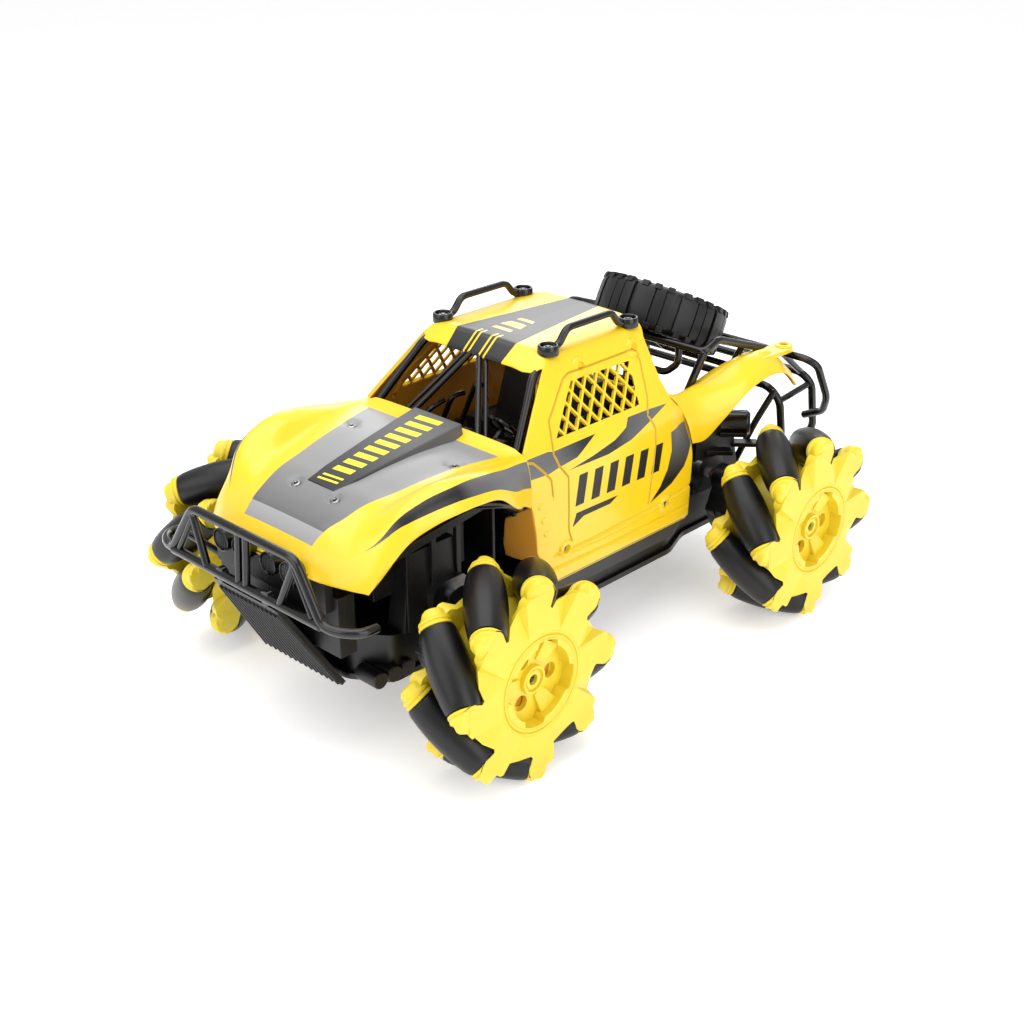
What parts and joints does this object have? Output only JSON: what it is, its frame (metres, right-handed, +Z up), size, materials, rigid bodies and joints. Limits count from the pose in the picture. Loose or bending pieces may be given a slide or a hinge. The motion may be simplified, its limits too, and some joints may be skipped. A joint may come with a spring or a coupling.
{
  "type": "radio-controlled buggy",
  "caption": "Radio-controlled off-road buggy with a moulded truck body, tube bumpers, rack-mounted spare tyre and omnidirectional roller wheels.",
  "frame": {"origin": "on the ground at the middle of the car's overall length and width", "axes": "+Z up, -Y towards the nose, +X towards the car's left side"},
  "size_m": [0.1932, 0.3036, 0.144],
  "materials": {
    "yellow_shell": "glossy moulded yellow",
    "wheel_yellow": "satin moulded yellow",
    "black_plastic": "satin black",
    "chassis_black": "fine grained black",
    "steel": "turned steel",
    "motor_can": "plated can",
    "brass": "cut brass",
    "roller_rubber": "satin black rubber",
    "spare_tyre": "black rubber-like plastic",
    "battery": "shrink sleeve",
    "board": "solder mask"
  },
  "bodies": {
    "chassis": {"chassis_tub": "chassis_black", "gear_cases": "chassis_black", "drive_motors": "motor_can", "body_shell": "yellow_shell", "side_panels": "yellow_shell", "body_screws": "steel", "roof_rails": "black_plastic", "roll_cage": "black_plastic", "front_bumper": "black_plastic", "headlamps": "black_plastic", "rear_frame": "black_plastic", "spare_tyre": "spare_tyre", "battery_pack": "battery", "circuit_board": "board"},
    "battery_door": {"battery_door": "chassis_black"},
    "power_switch": {"power_switch": "chassis_black"},
    "wheel_fl": {"wheel_hub_fl": "wheel_yellow", "axle_fl": "steel"},
    "wheel_fr": {"wheel_hub_fr": "wheel_yellow", "axle_fr": "steel"},
    "wheel_rl": {"wheel_hub_rl": "wheel_yellow", "axle_rl": "steel"},
    "wheel_rr": {"wheel_hub_rr": "wheel_yellow", "axle_rr": "steel"},
    "motor_pinion_fl": {"motor_pinion_fl": "brass"},
    "roller_fl_1": {"roller_fl_1": "roller_rubber"},
    "roller_fl_2": {"roller_fl_2": "roller_rubber"},
    "roller_fl_3": {"roller_fl_3": "roller_rubber"},
    "roller_fl_4": {"roller_fl_4": "roller_rubber"},
    "roller_fl_5": {"roller_fl_5": "roller_rubber"},
    "roller_fl_6": {"roller_fl_6": "roller_rubber"},
    "roller_fl_7": {"roller_fl_7": "roller_rubber"},
    "roller_fl_8": {"roller_fl_8": "roller_rubber"},
    "motor_pinion_fr": {"motor_pinion_fr": "brass"},
    "roller_fr_1": {"roller_fr_1": "roller_rubber"},
    "roller_fr_2": {"roller_fr_2": "roller_rubber"},
    "roller_fr_3": {"roller_fr_3": "roller_rubber"},
    "roller_fr_4": {"roller_fr_4": "roller_rubber"},
    "roller_fr_5": {"roller_fr_5": "roller_rubber"},
    "roller_fr_6": {"roller_fr_6": "roller_rubber"},
    "roller_fr_7": {"roller_fr_7": "roller_rubber"},
    "roller_fr_8": {"roller_fr_8": "roller_rubber"},
    "motor_pinion_rl": {"motor_pinion_rl": "brass"},
    "roller_rl_1": {"roller_rl_1": "roller_rubber"},
    "roller_rl_2": {"roller_rl_2": "roller_rubber"},
    "roller_rl_3": {"roller_rl_3": "roller_rubber"},
    "roller_rl_4": {"roller_rl_4": "roller_rubber"},
    "roller_rl_5": {"roller_rl_5": "roller_rubber"},
    "roller_rl_6": {"roller_rl_6": "roller_rubber"},
    "roller_rl_7": {"roller_rl_7": "roller_rubber"},
    "roller_rl_8": {"roller_rl_8": "roller_rubber"},
    "motor_pinion_rr": {"motor_pinion_rr": "brass"},
    "roller_rr_1": {"roller_rr_1": "roller_rubber"},
    "roller_rr_2": {"roller_rr_2": "roller_rubber"},
    "roller_rr_3": {"roller_rr_3": "roller_rubber"},
    "roller_rr_4": {"roller_rr_4": "roller_rubber"},
    "roller_rr_5": {"roller_rr_5": "roller_rubber"},
    "roller_rr_6": {"roller_rr_6": "roller_rubber"},
    "roller_rr_7": {"roller_rr_7": "roller_rubber"},
    "roller_rr_8": {"roller_rr_8": "roller_rubber"}
  },
  "joints": [
    {"name": "battery_door_hinge", "type": "hinge", "parent": "chassis", "child": "battery_door", "pos_m": [0, -0.0368, 0.02798], "axis": [1, 0, 0], "range_deg": [-100, 0]},
    {"name": "power_switch_slide", "type": "slide", "parent": "chassis", "child": "power_switch", "axis": [0, 1, 0], "range_m": [0, 0.004]},
    {"name": "wheel_spin_fl", "type": "hinge", "parent": "chassis", "child": "wheel_fl", "pos_m": [0.0805, -0.0892, 0.04196], "axis": [1, 0, 0], "continuous": true},
    {"name": "wheel_spin_fr", "type": "hinge", "parent": "chassis", "child": "wheel_fr", "pos_m": [-0.0805, -0.0892, 0.04196], "axis": [1, 0, 0], "continuous": true},
    {"name": "wheel_spin_rl", "type": "hinge", "parent": "chassis", "child": "wheel_rl", "pos_m": [0.0805, 0.0892, 0.04196], "axis": [1, 0, 0], "continuous": true},
    {"name": "wheel_spin_rr", "type": "hinge", "parent": "chassis", "child": "wheel_rr", "pos_m": [-0.0805, 0.0892, 0.04196], "axis": [1, 0, 0], "continuous": true},
    {"name": "pinion_spin_fl", "type": "hinge", "parent": "chassis", "child": "motor_pinion_fl", "pos_m": [0.05, -0.0817, 0.05495], "axis": [1, 0, 0], "continuous": true},
    {"name": "pinion_spin_fr", "type": "hinge", "parent": "chassis", "child": "motor_pinion_fr", "pos_m": [-0.05, -0.0817, 0.05495], "axis": [1, 0, 0], "continuous": true},
    {"name": "pinion_spin_rl", "type": "hinge", "parent": "chassis", "child": "motor_pinion_rl", "pos_m": [0.05, 0.0817, 0.05495], "axis": [1, 0, 0], "continuous": true},
    {"name": "pinion_spin_rr", "type": "hinge", "parent": "chassis", "child": "motor_pinion_rr", "pos_m": [-0.05, 0.0817, 0.05495], "axis": [1, 0, 0], "continuous": true},
    {"name": "roller_spin_fl_1", "type": "hinge", "parent": "wheel_fl", "child": "roller_fl_1", "pos_m": [0.0805, -0.05807, 0.05486], "axis": [0.7071, -0.2706, 0.6533], "continuous": true},
    {"name": "roller_spin_fl_2", "type": "hinge", "parent": "wheel_fl", "child": "roller_fl_2", "pos_m": [0.0805, -0.0763, 0.07309], "axis": [0.7071, -0.6533, 0.2706], "continuous": true},
    {"name": "roller_spin_fl_3", "type": "hinge", "parent": "wheel_fl", "child": "roller_fl_3", "pos_m": [0.0805, -0.1021, 0.07309], "axis": [0.7071, -0.6533, -0.2706], "continuous": true},
    {"name": "roller_spin_fl_4", "type": "hinge", "parent": "wheel_fl", "child": "roller_fl_4", "pos_m": [0.0805, -0.12033, 0.05486], "axis": [0.7071, -0.2706, -0.6533], "continuous": true},
    {"name": "roller_spin_fl_5", "type": "hinge", "parent": "wheel_fl", "child": "roller_fl_5", "pos_m": [0.0805, -0.12033, 0.02906], "axis": [0.7071, 0.2706, -0.6533], "continuous": true},
    {"name": "roller_spin_fl_6", "type": "hinge", "parent": "wheel_fl", "child": "roller_fl_6", "pos_m": [0.0805, -0.1021, 0.01083], "axis": [0.7071, 0.6533, -0.2706], "continuous": true},
    {"name": "roller_spin_fl_7", "type": "hinge", "parent": "wheel_fl", "child": "roller_fl_7", "pos_m": [0.0805, -0.0763, 0.01083], "axis": [0.7071, 0.6533, 0.2706], "continuous": true},
    {"name": "roller_spin_fl_8", "type": "hinge", "parent": "wheel_fl", "child": "roller_fl_8", "pos_m": [0.0805, -0.05807, 0.02906], "axis": [0.7071, 0.2706, 0.6533], "continuous": true},
    {"name": "roller_spin_fr_1", "type": "hinge", "parent": "wheel_fr", "child": "roller_fr_1", "pos_m": [-0.0805, -0.05807, 0.05486], "axis": [-0.7071, -0.2706, 0.6533], "continuous": true},
    {"name": "roller_spin_fr_2", "type": "hinge", "parent": "wheel_fr", "child": "roller_fr_2", "pos_m": [-0.0805, -0.0763, 0.07309], "axis": [-0.7071, -0.6533, 0.2706], "continuous": true},
    {"name": "roller_spin_fr_3", "type": "hinge", "parent": "wheel_fr", "child": "roller_fr_3", "pos_m": [-0.0805, -0.1021, 0.07309], "axis": [-0.7071, -0.6533, -0.2706], "continuous": true},
    {"name": "roller_spin_fr_4", "type": "hinge", "parent": "wheel_fr", "child": "roller_fr_4", "pos_m": [-0.0805, -0.12033, 0.05486], "axis": [-0.7071, -0.2706, -0.6533], "continuous": true},
    {"name": "roller_spin_fr_5", "type": "hinge", "parent": "wheel_fr", "child": "roller_fr_5", "pos_m": [-0.0805, -0.12033, 0.02906], "axis": [-0.7071, 0.2706, -0.6533], "continuous": true},
    {"name": "roller_spin_fr_6", "type": "hinge", "parent": "wheel_fr", "child": "roller_fr_6", "pos_m": [-0.0805, -0.1021, 0.01083], "axis": [-0.7071, 0.6533, -0.2706], "continuous": true},
    {"name": "roller_spin_fr_7", "type": "hinge", "parent": "wheel_fr", "child": "roller_fr_7", "pos_m": [-0.0805, -0.0763, 0.01083], "axis": [-0.7071, 0.6533, 0.2706], "continuous": true},
    {"name": "roller_spin_fr_8", "type": "hinge", "parent": "wheel_fr", "child": "roller_fr_8", "pos_m": [-0.0805, -0.05807, 0.02906], "axis": [-0.7071, 0.2706, 0.6533], "continuous": true},
    {"name": "roller_spin_rl_1", "type": "hinge", "parent": "wheel_rl", "child": "roller_rl_1", "pos_m": [0.0805, 0.12033, 0.05486], "axis": [0.7071, -0.2706, 0.6533], "continuous": true},
    {"name": "roller_spin_rl_2", "type": "hinge", "parent": "wheel_rl", "child": "roller_rl_2", "pos_m": [0.0805, 0.1021, 0.07309], "axis": [0.7071, -0.6533, 0.2706], "continuous": true},
    {"name": "roller_spin_rl_3", "type": "hinge", "parent": "wheel_rl", "child": "roller_rl_3", "pos_m": [0.0805, 0.0763, 0.07309], "axis": [0.7071, -0.6533, -0.2706], "continuous": true},
    {"name": "roller_spin_rl_4", "type": "hinge", "parent": "wheel_rl", "child": "roller_rl_4", "pos_m": [0.0805, 0.05807, 0.05486], "axis": [0.7071, -0.2706, -0.6533], "continuous": true},
    {"name": "roller_spin_rl_5", "type": "hinge", "parent": "wheel_rl", "child": "roller_rl_5", "pos_m": [0.0805, 0.05807, 0.02906], "axis": [0.7071, 0.2706, -0.6533], "continuous": true},
    {"name": "roller_spin_rl_6", "type": "hinge", "parent": "wheel_rl", "child": "roller_rl_6", "pos_m": [0.0805, 0.0763, 0.01083], "axis": [0.7071, 0.6533, -0.2706], "continuous": true},
    {"name": "roller_spin_rl_7", "type": "hinge", "parent": "wheel_rl", "child": "roller_rl_7", "pos_m": [0.0805, 0.1021, 0.01083], "axis": [0.7071, 0.6533, 0.2706], "continuous": true},
    {"name": "roller_spin_rl_8", "type": "hinge", "parent": "wheel_rl", "child": "roller_rl_8", "pos_m": [0.0805, 0.12033, 0.02906], "axis": [0.7071, 0.2706, 0.6533], "continuous": true},
    {"name": "roller_spin_rr_1", "type": "hinge", "parent": "wheel_rr", "child": "roller_rr_1", "pos_m": [-0.0805, 0.12033, 0.05486], "axis": [-0.7071, -0.2706, 0.6533], "continuous": true},
    {"name": "roller_spin_rr_2", "type": "hinge", "parent": "wheel_rr", "child": "roller_rr_2", "pos_m": [-0.0805, 0.1021, 0.07309], "axis": [-0.7071, -0.6533, 0.2706], "continuous": true},
    {"name": "roller_spin_rr_3", "type": "hinge", "parent": "wheel_rr", "child": "roller_rr_3", "pos_m": [-0.0805, 0.0763, 0.07309], "axis": [-0.7071, -0.6533, -0.2706], "continuous": true},
    {"name": "roller_spin_rr_4", "type": "hinge", "parent": "wheel_rr", "child": "roller_rr_4", "pos_m": [-0.0805, 0.05807, 0.05486], "axis": [-0.7071, -0.2706, -0.6533], "continuous": true},
    {"name": "roller_spin_rr_5", "type": "hinge", "parent": "wheel_rr", "child": "roller_rr_5", "pos_m": [-0.0805, 0.05807, 0.02906], "axis": [-0.7071, 0.2706, -0.6533], "continuous": true},
    {"name": "roller_spin_rr_6", "type": "hinge", "parent": "wheel_rr", "child": "roller_rr_6", "pos_m": [-0.0805, 0.0763, 0.01083], "axis": [-0.7071, 0.6533, -0.2706], "continuous": true},
    {"name": "roller_spin_rr_7", "type": "hinge", "parent": "wheel_rr", "child": "roller_rr_7", "pos_m": [-0.0805, 0.1021, 0.01083], "axis": [-0.7071, 0.6533, 0.2706], "continuous": true},
    {"name": "roller_spin_rr_8", "type": "hinge", "parent": "wheel_rr", "child": "roller_rr_8", "pos_m": [-0.0805, 0.12033, 0.02906], "axis": [-0.7071, 0.2706, 0.6533], "continuous": true}
  ],
  "couplings": [
    {"joint": "pinion_spin_fl", "follows": "wheel_spin_fl", "ratio": -4},
    {"joint": "pinion_spin_fr", "follows": "wheel_spin_fr", "ratio": -4},
    {"joint": "pinion_spin_rl", "follows": "wheel_spin_rl", "ratio": -4},
    {"joint": "pinion_spin_rr", "follows": "wheel_spin_rr", "ratio": -4}
  ]
}
